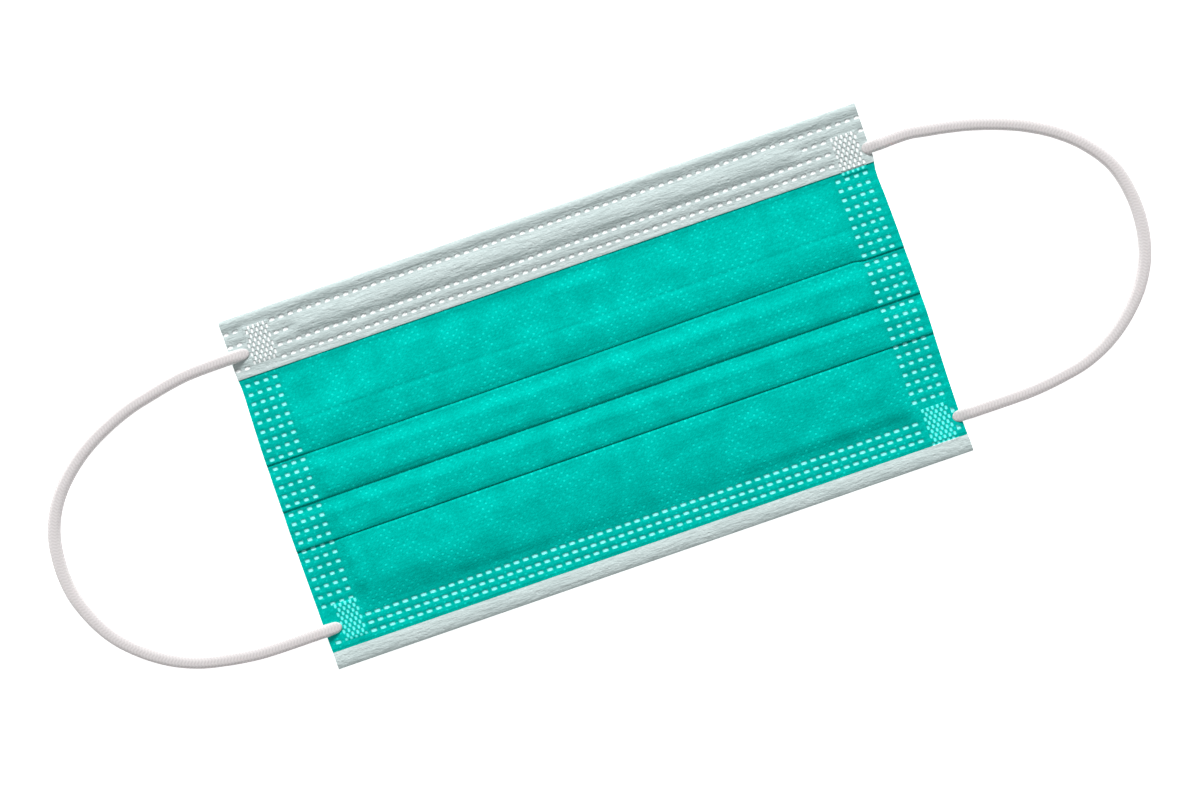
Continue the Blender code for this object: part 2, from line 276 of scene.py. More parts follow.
def crease_height(inset, drop):
    """Height that the listed creases add, in millimetres."""
    height = np.zeros_like(inset)
    for start, end, half_width, rise in CREASES:
        along = np.array(end, float) - start
        length = math.hypot(*along)
        along /= length
        reach = (inset - start[0]) * along[0] + (drop - start[1]) * along[1]
        aside = (drop - start[1]) * along[0] - (inset - start[0]) * along[1]
        over = reach - np.clip(reach, 0, length)
        spread = (aside / half_width) ** 2 + (over / (2 * half_width)) ** 2
        height += rise * np.exp(-spread)
    return height


def from_side_edge(inset):
    """Distance from the nearer side edge."""
    return np.minimum(inset, WIDTH_MM - inset)


def side_strip(inset):
    """1 in the welded strips along the side edges and 0 in the middle."""
    return smooth_step((14.0 - from_side_edge(inset)) / 3.5)


def wrinkle_height(inset, drop):
    """Height of the cloth's soft wrinkles, in millimetres."""
    slant = 0.30
    along = inset - slant * drop
    across = drop + slant * inset
    height = 0.19 * soft_noise(along / 24 + 3.1, across / 7.5 + 1.7, 11)
    height += 0.08 * soft_noise(along / 11 + 5.3, across / 4.0 + 2.9, 12)
    height += 0.03 * soft_noise(inset / 3.8 + 7.7, drop / 2.6 + 4.1, 13)
    return height


def lift_height(inset, drop):
    """Height of the cloth's underside above the ground, in millimetres."""
    free = band(drop, 17.5, 4, 83.5, 4) * (1 - 0.85 * side_strip(inset))
    folds = wrinkle_height(inset, drop) + crease_height(inset, drop)
    arch = through(LIFT, drop) * (1 - 0.8 * side_strip(inset))
    return np.maximum(arch + free * (folds + 0.20), 0)


def quilting(inset, drop):
    """Depth of the green ply's valleys along its weld rows and its pressed line."""
    from_edge = from_side_edge(inset)
    depth = np.zeros_like(inset)
    for row in BOTTOM_ROWS:
        valley = ROW_VALLEY * np.exp(-(((drop - row) / 0.62) ** 2))
        depth += valley * smooth_step((from_edge - 9) / 3)
    phase = (drop - SIDE_DOT_TOP) / SIDE_DOT_PITCH
    ripple = 0.5 + 0.5 * np.cos(2 * math.pi * phase)
    rows = band(drop, 16.8, 0.8, 79.8, 0.8)
    depth += DOT_VALLEY * ripple * rows * smooth_step((11.0 - from_edge) / 1.2)
    pressed = ROW_VALLEY * np.exp(-(((drop - FOLD_MARK_DROP) / 0.40) ** 2))
    return depth + pressed * (1 - side_strip(inset))


def green_puff(inset, drop):
    """Height of the green ply's soft quilting above the ply below it, in millimetres."""
    puff = (PUFF - quilting(inset, drop)) * band(drop, 15.65, 0.6, 90.9, 0.8)
    puff -= 0.15 * band(drop, 16.4, 1.5, 22.0, 3.8)
    for pleat in PLEATS:
        before = pleat["edge"] - drop
        turn = pleat["round"] * smooth_step((2.2 - before) / 2.0) * (1 - side_strip(inset))
        puff -= turn * (before > -0.3)
    puff = np.maximum(puff, LEAST_PUFF)
    for pleat in PLEATS:
        past = drop - pleat["edge"]
        share = band(past, -0.32, 1.15, 9.5, 8.5)
        puff += (pleat["fill"] + (STRIP_FILL - pleat["fill"]) * side_strip(inset)) * share
    return puff


def stack_share(inset, drop):
    """Share of LAYER_STEP between a pleat's layers."""
    share = np.maximum(through(STACK_SHARE, drop), FLATTEST)
    return FLATTEST + (share - FLATTEST) * (1 - side_strip(inset))


def patch_distance(inset, drop):
    """Distance to the nearest of the loops' fused ends, and 0 on them."""
    nearest = np.inf
    for left, top, right, bottom in PATCHES.values():
        outside_x = np.maximum(np.maximum(left - inset, inset - right), 0)
        outside_y = np.maximum(np.maximum(top - drop, drop - bottom), 0)
        nearest = np.minimum(nearest, np.hypot(outside_x, outside_y))
    return nearest


def hem_air(inset, drop):
    """Height of the air inside the hems, in millimetres."""
    over_wire = smooth_step((from_side_edge(inset) - 16.5) / 5.0)
    top = through(HEM_AIR_OVER_WIRE, drop) * over_wire
    top += through(HEM_AIR_PAST_WIRE, drop) * (1 - over_wire)
    air = np.where(drop < HEIGHT_MM / 2, top, through(BOTTOM_HEM_AIR, drop))
    air = air * (1 + 0.14 * soft_noise(inset / 6 + 2.2, drop / 2.5 + 8.8, 21))
    air += 0.035 * soft_noise(inset / 2.6 + 3.3, drop / 1.1 + 6.1, 22)
    press = smooth_step(1 - patch_distance(inset, drop) / 1.6)
    return air + (0.30 - air) * 0.8 * press


def clear_marks(insets, drops, half):
    """Marks at every inset and drop that keep clear of the fused ends, with their half sizes."""
    marks = [(inset, drop, *half) for drop in drops for inset in insets]
    return [mark for mark in marks if patch_distance(*mark[:2]) >= MARK_CLEARANCE]


def top_marks():
    """Dashes of the four weld rows in the top hem."""
    ends = (PATCHES["top_left"][2], PATCHES["top_right"][0])
    past_wire = [inset for inset in TOP_DASHES if not WIRE_ROW_GAP[0] < inset < WIRE_ROW_GAP[1]]
    inner = [inset for inset in TOP_DASHES if ends[0] < inset < ends[1]]
    marks = []
    for drop, dashes in zip(TOP_ROWS, (TOP_DASHES, past_wire, inner, TOP_DASHES)):
        marks += clear_marks(dashes, [drop], DASH_HALF)
    return marks


def panel_marks():
    """Dots of the side strips and dashes of the three weld rows above the bottom hem."""
    marks = clear_marks(SIDE_DOT_COLUMNS, SIDE_DOT_DROPS, DOT_HALF)
    marks += clear_marks(BOTTOM_DASHES, BOTTOM_ROWS, DASH_HALF)
    return marks + [(inset, drop, *DASH_HALF) for inset, drop in SIDE_DASHES]


def around_marks(marks, inset, drop, halves=0.0, least=0.0):
    """Each weld mark with the places near it, up to a count of its half sizes or a least reach."""
    order = np.argsort(drop)
    sorted_drops = drop[order]
    for middle_x, middle_y, half_x, half_y in marks:
        high = max(halves * half_y, least)
        first = np.searchsorted(sorted_drops, middle_y - high)
        last = np.searchsorted(sorted_drops, middle_y + high)
        near = order[first:last]
        near = near[np.abs(inset[near] - middle_x) < max(halves * half_x, least)]
        yield near, inset[near] - middle_x, drop[near] - middle_y, half_x, half_y


def mark_share(marks, inset, drop):
    """1 on a weld mark, 0 away from it, with a narrow rounded rim between."""
    share = np.zeros_like(inset)
    for near, aside, below, half_x, half_y in around_marks(marks, inset, drop, halves=1.4):
        reach = ((np.abs(aside) / half_x) ** 3 + (np.abs(below) / half_y) ** 3) ** (1 / 3)
        share[near] = np.maximum(share[near], 1 - smooth_step((reach - 0.85) / 0.4))
    return share


def dimple_share(marks, inset, drop):
    """1 at a weld mark's middle, falling off softly to almost 0 about two millimetres away."""
    share = np.zeros_like(inset)
    for near, aside, below, _, _ in around_marks(marks, inset, drop, least=2.4):
        spread = (aside / 1.15) ** 2 + (below / 0.75) ** 2
        share[near] = np.maximum(share[near], np.exp(-spread))
    return share


def arc(centre, radii, start, end):
    """Points of an elliptical arc, with angles in degrees from +drop towards +Z."""
    angles = np.radians(np.linspace(start, end, 25))
    turns = [(math.cos(angle), math.sin(angle)) for angle in angles]
    return [(centre[0] + radii[0] * u, centre[1] + radii[1] * v) for u, v in turns]


def climb(start, end, low, high):
    """Points of a smooth rise from one height to another."""
    shares = np.linspace(0, 1, 25)
    return [(start + (end - start) * u, low + (high - low) * smooth_step(u)) for u in shares]


def pleated_points(first, last):
    """The laminate's middle line from one drop to another, folded into the pleats."""
    top_layer = FLOOR_LAYER + 2 * LAYER_STEP
    points = [(first, FLOOR_LAYER)]
    for pleat in PLEATS:
        hidden = pleat["hidden"] * MM
        edge_centre = pleat["edge"] * MM - FOLD_RADIUS - LAMINATE / 2
        hidden_centre = hidden + FOLD_RADIUS + LAMINATE / 2
        points += climb(hidden - pleat["climb"] * MM, hidden + FOLD_RADIUS, FLOOR_LAYER, top_layer)
        radii = (FOLD_RADIUS, FOLD_RADIUS)
        points += arc((edge_centre, FLOOR_LAYER + 1.5 * LAYER_STEP), radii, 90, -90)
        points += arc((hidden_centre, FLOOR_LAYER + 0.5 * LAYER_STEP), radii, 90, 270)
    points.append((last, FLOOR_LAYER))
    return points


class Line:
    """A ply's middle line in the drop-Z plane, with even fine steps along its length.

    Its rows hold drop and height, drop and height of the middle of the laminate that the
    ply is part of there, and 1 in a hem's turned stretch.
    """

    FINE = 0.05 * MM

    def __init__(self, rows):
        rows = np.array(rows, float)
        steps = np.hypot(*np.diff(rows[:, :2], axis=0).T)
        rows = rows[np.concatenate([[True], steps > 1e-9])]
        reach = np.concatenate([[0], np.cumsum(np.hypot(*np.diff(rows[:, :2], axis=0).T))])
        self.length = reach[-1]
        self.s = np.linspace(0, reach[-1], int(reach[-1] / self.FINE) + 1)
        columns = [np.interp(self.s, reach, column) for column in rows.T]
        self.drop, self.z, self.layer_drop, self.layer_z, self.hem = columns
        slope_drop = np.gradient(self.drop, self.s)
        slope_z = np.gradient(self.z, self.s)
        blur = np.ones(3) / 3
        slope_drop = np.convolve(np.pad(slope_drop, 1, mode="edge"), blur, mode="valid")
        slope_z = np.convolve(np.pad(slope_z, 1, mode="edge"), blur, mode="valid")
        size = np.hypot(slope_drop, slope_z)
        self.normal_drop = -slope_z / size
        self.normal_z = slope_drop / size
        self.angle = np.unwrap(np.arctan2(slope_z, slope_drop))
        self.columns = [*columns, self.normal_drop, self.normal_z]

    def runs(self):
        """Index ranges over which the drop rises, and the cloth faces up or is the back."""
        rising = np.gradient(self.drop, self.s) > 0
        edges = np.flatnonzero(np.diff(rising.astype(int)))
        bounds = [0, *(edges + 1), len(self.s)]
        return [(a, b) for a, b in zip(bounds, bounds[1:]) if rising[a]]

    def at_drop(self, drop_mm):
        """Length along the line at a drop, on the layer that shows there."""
        places = [
            np.interp(drop_mm * MM, self.drop[a:b], self.s[a:b])
            for a, b in self.runs() if self.drop[a] <= drop_mm * MM <= self.drop[b - 1]
        ]
        return max(places, key=lambda place: np.interp(place, self.s, self.z))

    def stations(self, first, last, longest, marks=()):
        """Lengths along the line where rows of vertices lie: at marks, in folds and between."""
        turn = math.radians(24)
        picked = [first]
        angle = np.interp(first, self.s, self.angle)
        for place, direction in zip(self.s, self.angle):
            if first < place < last:
                if place - picked[-1] > longest or abs(direction - angle) > turn:
                    picked.append(place)
                    angle = direction
        marks = [place for place in marks if first < place < last]
        near = 0.14 * MM
        spare = [p for p in picked[1:] if all(abs(p - mark) > near for mark in marks)]
        return np.array(sorted([first, last] + spare + marks))


def ply_rows(first, last, distance):
    """Rows of a line that runs at a distance from the laminate's middle, on its outer side."""
    layer = [(drop, z, drop, z, 0) for drop, z in pleated_points(first, last)]
    base = Line(layer)
    drop = base.drop + base.normal_drop * distance
    z = base.z + base.normal_z * distance
    return list(zip(drop, z, base.drop, base.z, base.hem))


def outer_line():
    """Middle line of the green outer ply, which ends inside the hems."""
    last = (HEIGHT_MM - OUTER_PLY_INSET) * MM
    return Line(ply_rows(OUTER_PLY_INSET * MM, last, (PLY + PLY_GAP) / 2))


def inner_line():
    """Middle line of the white inner ply: top hem, back face and bottom hem."""
    low = PLY / 2
    high = LAMINATE + PLY_GAP + PLY / 2
    radii = (HEM_ROLL * MM, (high - low) / 2)
    inset = HEM_ROLL * MM + PLY / 2
    nose_centre = (inset, (high + low) / 2)
    chin_centre = (HEIGHT_MM * MM - inset, (high + low) / 2)
    top = [(TOP_HEM_EDGE * MM, high)] + arc(nose_centre, radii, 90, 270)
    bottom = arc(chin_centre, radii, -90, 90) + [(BOTTOM_HEM_EDGE * MM, high)]
    rows = [(drop, z, drop, FLOOR_LAYER, 1) for drop, z in top]
    rows += ply_rows(inset, HEIGHT_MM * MM - inset, -(PLY + PLY_GAP) / 2)
    rows += [(drop, z, drop, FLOOR_LAYER, 1) for drop, z in bottom]
    return Line(rows)


def edge_drift(inset, drop):
    """How far the first pleat's edge strays down the mask from a straight line."""
    near = np.exp(-(((drop - PLEATS[0]["edge"]) / 6.0) ** 2)) * (1 - side_strip(inset))
    return near * (0.15 - 0.65 * smooth_step((inset - 70) / 85))


def cloth_points(line, inset_mm, s, side):
    """Places in the frame of cloth points, from their inset, length along the line and side."""
    values = [np.interp(s, line.s, column) for column in line.columns]
    drop, z, layer_drop, layer_z, hem, normal_drop, normal_z = values
    layer_mm = layer_drop / MM
    share = stack_share(inset_mm, layer_mm)
    z = z + (layer_z - FLOOR_LAYER) * (share - 1)
    turned = np.clip((z - PLY / 2) / (LAMINATE + PLY_GAP), 0, 1) * hem
    height = z + hem_air(inset_mm, layer_mm) * MM * turned
    drop_mm = drop / MM
    drop = drop + normal_drop * side + edge_drift(inset_mm, drop_mm) * MM
    height = height + normal_z * side + lift_height(inset_mm, layer_mm) * MM
    spread = (inset_mm - WIDTH_MM / 2) / (WIDTH_MM / 2)
    bulges = np.array(SIDE_BULGE)
    left, right = (through(bulges[:, (0, column)], drop_mm) for column in (1, 2))
    x = (inset_mm - WIDTH_MM / 2 + np.where(spread < 0, left, right) * spread**9) * MM
    return np.column_stack([x, NOSE_Y - drop, height])


def grid_faces(index):
    """Quads between the rows and columns of a grid of vertex numbers."""
    corners = (index[:-1, :-1], index[:-1, 1:], index[1:, 1:], index[1:, :-1])
    return [tuple(quad) for quad in np.stack([c.ravel() for c in corners], 1)]


def tube_faces(index):
    """Quads round a tube of rings of vertex numbers, with a face over each end."""
    ahead = np.roll(index, -1, axis=1)
    corners = (index[:-1], ahead[:-1], ahead[1:], index[1:])
    faces = [tuple(quad) for quad in np.stack([c.ravel() for c in corners], 1)]
    return faces + [tuple(index[0][::-1]), tuple(index[-1])]


def zip_rows(first, second, along):
    """Triangles between two rows of vertices, in the order of their places along the seam."""
    faces = []
    i = 0
    j = 0
    while i < len(first) - 1 or j < len(second) - 1:
        first_next = i < len(first) - 1
        if first_next and j < len(second) - 1:
            first_next = along[first[i + 1]] <= along[second[j + 1]]
        if first_next:
            faces.append((first[i], first[i + 1], second[j]))
            i += 1
        else:
            faces.append((first[i], second[j + 1], second[j]))
            j += 1
    return faces


def flat_grid(bands, start):
    """Flat vertices (inset, s), faces and borders of bands of rows, numbered from start."""
    insets = []
    lengths = []
    faces = []
    borders = {"left": [], "right": []}
    seams = []
    for columns, rows in bands:
        base = start + len(insets)
        index = base + np.arange(len(rows) * len(columns)).reshape(len(rows), len(columns))
        insets += list(np.tile(columns, len(rows)))
        lengths += list(np.repeat(rows, len(columns)))
        faces += grid_faces(index)
        borders["left"] += list(index[:, 0])
        borders["right"] += list(index[:, -1])
        seams.append((index[0], index[-1]))
    along = dict(enumerate(insets, start))
    for (_, above), (below, _) in zip(seams, seams[1:]):
        faces += zip_rows(above, below, along)
    borders["first"] = list(seams[0][0])
    borders["last"] = list(seams[-1][1])
    return insets, lengths, faces, borders


def cloth_shell(name, line, shown_bands, hidden_bands, shown_side, marks, material):
    """A ply as a closed thin shell, fine on the side that shows and coarse on the other."""
    shown = flat_grid(shown_bands, 0)
    hidden = flat_grid(hidden_bands, len(shown[0]))
    inset = np.array(shown[0] + hidden[0])
    s = np.array(shown[1] + hidden[1])
    faces = shown[2] + hidden[2]
    for border in ("left", "right"):
        faces += zip_rows(shown[3][border], hidden[3][border], s)
    for border in ("first", "last"):
        faces += zip_rows(shown[3][border], hidden[3][border], inset)
    on_show = np.arange(len(inset)) < len(shown[0])
    drop_mm = np.interp(s, line.s, line.drop) / MM
    marked = on_show & ((shown_side > 0) | (np.interp(s, line.s, line.hem) > 0.5))
    weld = np.where(marked, mark_share(marks, inset, drop_mm), 0)
    side = np.where(on_show, PLY / 2 - MARK_DEPTH * weld, -PLY / 2) * shown_side
    vertices = cloth_points(line, inset, s, side)
    # The share round each mark both dents the green face and is kept as the mask of painted shade in
    # the material.
    near = np.where(marked, dimple_share(marks, inset, drop_mm), 0)
    if shown_side > 0:
        vertices[:, 2] += MM * (green_puff(inset, drop_mm) - DIMPLE * near) * on_show
    flat = np.column_stack([inset * MM, s, np.zeros_like(s)])
    return mesh_piece(name, vertices, faces, material, {"weld": weld, "painted_mark_shade": near}, flat)


def mesh_piece(name, vertices, faces, material, shares, flat, sharp=60):
    """A smooth mesh object with its outward faces, its vertex values and its flat pattern."""
    data = bpy.data.meshes.new(name)
    data.from_pydata(vertices.tolist(), [], [tuple(int(i) for i in face) for face in faces])
    mesh = bmesh.new()
    mesh.from_mesh(data)
    bmesh.ops.recalc_face_normals(mesh, faces=mesh.faces)
    mesh.to_mesh(data)
    mesh.free()
    for key, values in shares.items():
        layer = data.attributes.new(key, "FLOAT", "POINT")
        layer.data.foreach_set("value", np.asarray(values, np.float32))
    layer = data.attributes.new("flat_place", "FLOAT_VECTOR", "POINT")
    layer.data.foreach_set("vector", flat.astype(np.float32).ravel())
    data.shade_smooth()
    data.set_sharp_from_angle(angle=math.radians(sharp))
    data.materials.append(material)
    piece = bpy.data.objects.new(name, data)
    bpy.context.scene.collection.objects.link(piece)
    return piece


def even_columns(first, last, longest):
    """Even places from first to last, no further apart than longest."""
    count = max(1, math.ceil((last - first) / longest))
    return list(np.linspace(first, last, count + 1))


def strip_columns(longest):
    """Columns over the whole width, close together where the side strips meet the middle."""
    near = even_columns(0, 9.5, longest) + even_columns(9.5, 15.5, 0.6)[1:]
    near += even_columns(15.5, 22.5, 1.4)[1:]
    middle = even_columns(22.5, WIDTH_MM - 22.5, longest)[1:-1]
    return np.array(near + middle + [WIDTH_MM - place for place in reversed(near)])


def outlines(middles, half):
    """Places that follow both rims and the middle of each mark in a row."""
    return [middle + share * half for middle in middles for share in (-1.25, -0.85, 0, 0.85, 1.25)]


def marked_columns(middles, half, longest, extra=()):
    """Columns that follow the outlines of a row of marks, with even ones between."""
    lines = outlines(middles, half) + list(extra)
    columns = [0]
    for line in sorted(place for place in lines if 0.1 < place < WIDTH_MM - 0.1) + [WIDTH_MM]:
        columns += even_columns(columns[-1], line, longest)[1:]
    return np.array(columns)


def hem_place(line, drop_mm):
    """Length along the inner ply's line at a drop on a hem's upper side."""
    at_chin = drop_mm > HEIGHT_MM / 2
    own_half = (line.s > line.length / 2) == at_chin
    chosen = own_half & (line.hem > 0.5) & (line.z > LAMINATE)
    return np.interp(-drop_mm * MM, -line.drop[chosen], line.s[chosen])


def outer_ply(material):
    """The green ply, with its pleats and the dots and dashes of its welds."""
    line = outer_line()
    rise = np.arange(10.7, 15.6, 0.6)  # where a side strip rises to the open cloth
    rises = [*rise, *(WIDTH_MM - rise)]
    dot_columns = marked_columns(SIDE_DOT_COLUMNS, DOT_HALF[0], 2.0, rises)
    dashes = BOTTOM_DASHES + [inset for inset, _ in SIDE_DASHES[:2]]
    dash_columns = marked_columns(dashes, DASH_HALF[0], 1.2)
    plain_columns = strip_columns(2.5)
    at = line.at_drop
    dot_lines = [at(drop) for drop in outlines(SIDE_DOT_DROPS, DOT_HALF[1])]
    dash_lines = [at(drop) for drop in outlines(BOTTOM_ROWS, DASH_HALF[1])]
    end = line.length
    shown = [
        (plain_columns, line.stations(0, at(HEM_SEAM[0]), 2.5 * MM)),
        (dot_columns, line.stations(at(HEM_SEAM[1]), at(DASH_SEAM[0]), 0.9 * MM, dot_lines)),
        (dash_columns, line.stations(at(DASH_SEAM[1]), at(CHIN_SEAM[0]), 0.6 * MM, dash_lines)),
        (plain_columns, line.stations(at(CHIN_SEAM[1]), end, 0.9 * MM)),
    ]
    hidden = [(plain_columns, line.stations(0, end, 0.8 * MM))]
    piece = cloth_shell("outer_ply", line, shown, hidden, 1, panel_marks(), material)
    return piece, line.length


def inner_ply(material):
    """The white ply: the back of the mask and both hems turned over its long edges."""
    line = inner_line()
    dash_columns = marked_columns(TOP_DASHES, DASH_HALF[0], 1.2)
    plain_columns = strip_columns(2.5)
    edge_columns = strip_columns(1.5)
    dash_lines = [hem_place(line, drop) for drop in outlines(TOP_ROWS, DASH_HALF[1])]
    turn = hem_place(line, 2.6)
    chin = hem_place(line, 91.8)
    end = line.length
    shown = [
        (dash_columns, line.stations(0, turn, 0.45 * MM, sorted(dash_lines))),
        (edge_columns, line.stations(turn + 0.3 * MM, chin, 1.2 * MM)),
        (edge_columns, line.stations(chin + 0.2 * MM, end, 0.4 * MM)),
    ]
    hidden = [(plain_columns, line.stations(0, end, 0.8 * MM))]
    piece = cloth_shell("inner_ply", line, shown, hidden, -1, top_marks(), material)
    return piece, line.length


def cloth_top(inset, drop):
    """Height of the cloth's visible face near the fused ends, in metres."""
    flange = LAMINATE + PLY_GAP + PLY + hem_air(inset, drop) * MM
    over_top = smooth_step((TOP_HEM_EDGE + 0.1 - drop) / 0.3)
    over_bottom = smooth_step((drop - BOTTOM_HEM_EDGE + 0.1) / 0.3)
    over = np.maximum(over_top, over_bottom)
    puff = green_puff(inset, drop) * MM * (1 - over)
    return LAMINATE + puff + (flange - LAMINATE) * over + lift_height(inset, drop) * MM


def diamond_marks(corner):
    """Staggered lens-shaped marks of a fused end: inset, drop and half sizes."""
    left, top, right, bottom = PATCHES[corner]
    marks = []
    rows = int((bottom - top) / (DIAMOND_CELL[1] / 2)) + 1
    for row in range(rows):
        drop = top + (row + 0.35) * DIAMOND_CELL[1] / 2
        shift = 0.5 * DIAMOND_CELL[0] * (row % 2)
        columns = int((right - left - 0.3) / DIAMOND_CELL[0]) + 1
        for column in range(columns):
            inset = left + 0.35 + shift + column * DIAMOND_CELL[0]
            slant = 0.12 * max(0.0, 9.0 - drop) if corner == "top_left" else 0
            if left + slant < inset < right - 0.1 and drop < bottom - 0.2:
                marks.append((inset, drop, *DIAMOND_HALF))
    return marks


def fused_end(corner, materials):
    """The flat fused end of a loop: a thin film on the cloth with a grid of diamond marks."""
    left, top, right, bottom = PATCHES[corner]
    columns = np.array(even_columns(left - 0.2, right + 0.2, 0.17))
    rows = np.array(even_columns(top - 0.2, bottom + 0.2, 0.193))
    inset = np.tile(columns, len(rows))
    drop = np.repeat(rows, len(columns))
    marks = diamond_marks(corner)
    weld = mark_share(marks, inset, drop)
    from_side = np.minimum.reduce([inset - left, right - inset, drop - top, bottom - drop])
    film = FILM * smooth_step((from_side + 0.15) / 0.5) - 0.04
    height = cloth_top(inset, drop) + (film - DIAMOND_DEPTH * weld) * MM
    upper = np.column_stack([(inset - WIDTH_MM / 2) * MM, NOSE_Y - drop * MM, height])
    lower = upper.copy()
    lower[:, 2] = cloth_top(inset, drop) - 0.12 * MM
    count = len(inset)
    index = np.arange(count).reshape(len(rows), len(columns))
    faces = grid_faces(index) + [quad[::-1] for quad in grid_faces(index + count)]
    for border in (index[0], index[-1], index[:, 0], index[:, -1]):
        for a, b in zip(border, border[1:]):
            faces.append((a, b, b + count, a + count))
    vertices = np.vstack([upper, lower])
    flat = np.column_stack([np.tile(inset, 2), np.tile(drop, 2), np.zeros(2 * count)]) * MM
    name = "fused_end_" + corner
    piece = mesh_piece(name, vertices, faces, materials[0], {"weld": np.tile(weld, 2)}, flat)
    piece.data.materials.append(materials[1])
    for polygon in piece.data.polygons:
        drop_mm = (NOSE_Y - polygon.center.y) / MM
        polygon.material_index = int(TOP_HEM_EDGE < drop_mm < BOTTOM_HEM_EDGE)
    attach(piece, "root")
    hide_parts("loop_weld_" + corner)


def smooth_route(points, spacing):
    """Even points on a smooth curve through the given ones."""
    padded = [2 * points[0] - points[1]] + points + [2 * points[-1] - points[-2]]
    fine = []
    for before, start, end, after in zip(padded, padded[1:], padded[2:], padded[3:]):
        for sample in range(40):
            t = sample / 40
            bend = 2 * before - 5 * start + 4 * end - after
            twist = 3 * start - before - 3 * end + after
            fine.append((2 * start + t * (end - before) + t * t * bend + t**3 * twist) / 2)
    fine.append(points[-1])
    fine = np.array([tuple(point) for point in fine])
    reach = np.concatenate([[0], np.cumsum(np.hypot(*np.diff(fine, axis=0).T))])
    places = np.linspace(0, reach[-1], max(2, round(reach[-1] / spacing)) + 1)
    return np.column_stack([np.interp(places, reach, fine[:, axis]) for axis in (0, 1)])


def loop_path(side, welds, sags, route, spacing):
    """The cord's middle line from its upper fused end round to its lower one."""
    ends = [
        [(x, middle_y - sag) for x in (out, out / 2, LOOP_HOLD)]
        for (out, middle_y), sag in zip(welds, sags)
    ]
    plan = [Vector(point) for point in (*ends[0], *route, *ends[1][::-1])]
    even = smooth_route(plan, spacing)
    radius = LOOP_DIAMETER / 2
    share = smooth_step((LOOP_LAND - even[:, 0]) / (LOOP_LAND - LOOP_HOLD))
    inset = np.where(side < 0, -even[:, 0], WIDTH_MM * MM + even[:, 0]) / MM
    drop = (NOSE_Y - even[:, 1]) / MM
    rest = cloth_top(np.clip(inset, 0, WIDTH_MM), drop) + radius - 0.50 * MM
    height = radius + (rest - radius) * share
    return np.column_stack([side * (HALF_WIDTH + even[:, 0]), even[:, 1], height])


def rounded(turn, power):
    """Turns a circle's cosines or sines into a rounded box's: 1 keeps them, less is squarer."""
    return np.sign(turn) * np.abs(turn) ** power


def knitted_loop(hand, material, side, welds, sags, end_height, length, route):
    """A loop of round knitted elastic, flattened towards its fused ends."""
    spacing = 0.22 * MM
    path = loop_path(side, welds, sags, route, spacing)
    tangent = np.gradient(path, axis=0)
    tangent /= np.linalg.norm(tangent, axis=1)[:, None]
    across = np.cross(tangent, (0, 0, 1))
    across /= np.linalg.norm(across, axis=1)[:, None]
    up = np.cross(across, tangent)
    sides = 4 * WALES
    angles = np.linspace(0, 2 * math.pi, sides, endpoint=False)
    along = np.arange(len(path)) * spacing
    from_end = np.minimum(along, along[::-1])
    squash = smooth_step(from_end / FLAT_END_LENGTH)
    from_tip = np.minimum(from_end / TIP_LENGTH, 1)
    tip = np.maximum(np.sqrt(1 - (1 - from_tip) ** 2), 0.05)
    wide = (LOOP_DIAMETER / 2) * (0.95 + (CORD_WIDTH - 0.95) * squash) * tip
    flattened = end_height + (CORD_HEIGHT - end_height) * squash
    high = (LOOP_DIAMETER / 2) * flattened * (0.35 + 0.65 * tip)
    wale = (angles * WALES / (2 * math.pi)) % 1.0
    lean = np.abs(wale - 0.5) * 2
    stitch = 0.5 + 0.5 * np.cos(2 * math.pi * (along[:, None] / COURSE + 0.5 * lean))
    relief = 1 + 0.020 * (stitch - 0.5) + 0.015 * np.cos(2 * math.pi * (wale - 0.5))
    rings = path.copy()
    rings[:, 2] -= (LOOP_DIAMETER / 2) * (1 - flattened)
    rings = rings[:, None]
    for axis, turn, half in ((across, np.cos(angles), wide), (up, np.sin(angles), high)):
        reach = rounded(turn, CORD_ROUNDNESS) * half[:, None] * relief
        rings = rings + axis[:, None] * reach[..., None]
    vertices = rings.reshape(-1, 3)
    count = len(path)
    index = np.arange(count * sides).reshape(count, sides)
    round_place = np.tile(angles / (2 * math.pi) * math.pi * LOOP_DIAMETER, count)
    flat = np.column_stack([np.repeat(along, sides), round_place, np.zeros(count * sides)])
    shares = {"stitch": stitch.reshape(-1)}
    name = "knitted_loop_" + hand
    piece = mesh_piece(name, vertices, tube_faces(index), material, shares, flat, sharp=80)
    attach(piece, "root")
    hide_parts("ear_loop_" + hand)


